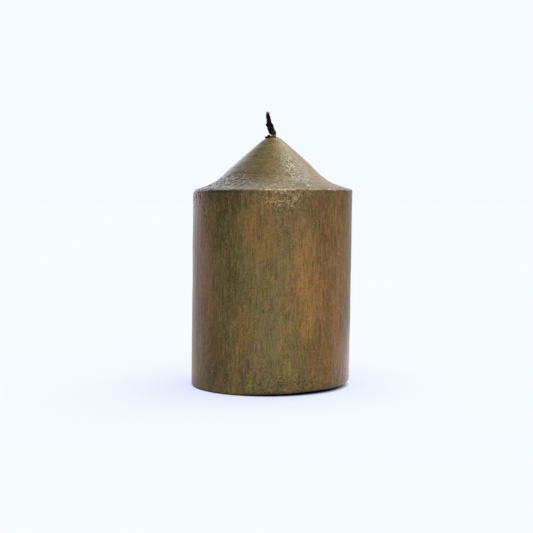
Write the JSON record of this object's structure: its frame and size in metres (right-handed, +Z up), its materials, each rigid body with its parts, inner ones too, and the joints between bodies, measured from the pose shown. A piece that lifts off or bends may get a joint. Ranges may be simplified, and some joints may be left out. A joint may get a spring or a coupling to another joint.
{
  "type": "pillar candle",
  "caption": "Pillar candle with a conical top, a brushed bronze coat over beeswax, and a charred, plaited cotton wick whose tip bends over.",
  "frame": {"origin": "centre of the base, on the plane that the candle stands on", "axes": "+Z up along the candle's axis, -Y towards the viewer, +X to the viewer's right"},
  "size_m": [0.06, 0.06, 0.1035],
  "materials": {
    "beeswax": "smooth cast wax",
    "bronze_coat": "brushed-on bronze and olive metallic coat, satin",
    "tinplate": "stamped tinplate",
    "primed_cotton": "plaited cotton primed with wax",
    "charred_cotton": "charred plaited cotton"
  },
  "bodies": {
    "candle": {"wax_body": "beeswax", "bronze_coat": "bronze_coat", "wick_sustainer": "tinplate", "wick_strand_1": "primed_cotton", "wick_strand_2": "primed_cotton", "wick_strand_3": "primed_cotton", "frayed_yarn_flat": "charred_cotton", "frayed_yarn_upright": "charred_cotton"},
    "wick_tip": {"wick_tip_strand_1": "charred_cotton", "wick_tip_strand_2": "charred_cotton", "wick_tip_strand_3": "charred_cotton"}
  },
  "joints": [
    {"name": "wick_bend", "type": "hinge", "parent": "candle", "child": "wick_tip", "pos_m": [0.0003, 0, 0.0951], "axis": [0, 1, 0], "range_deg": [-30, 45]}
  ]
}
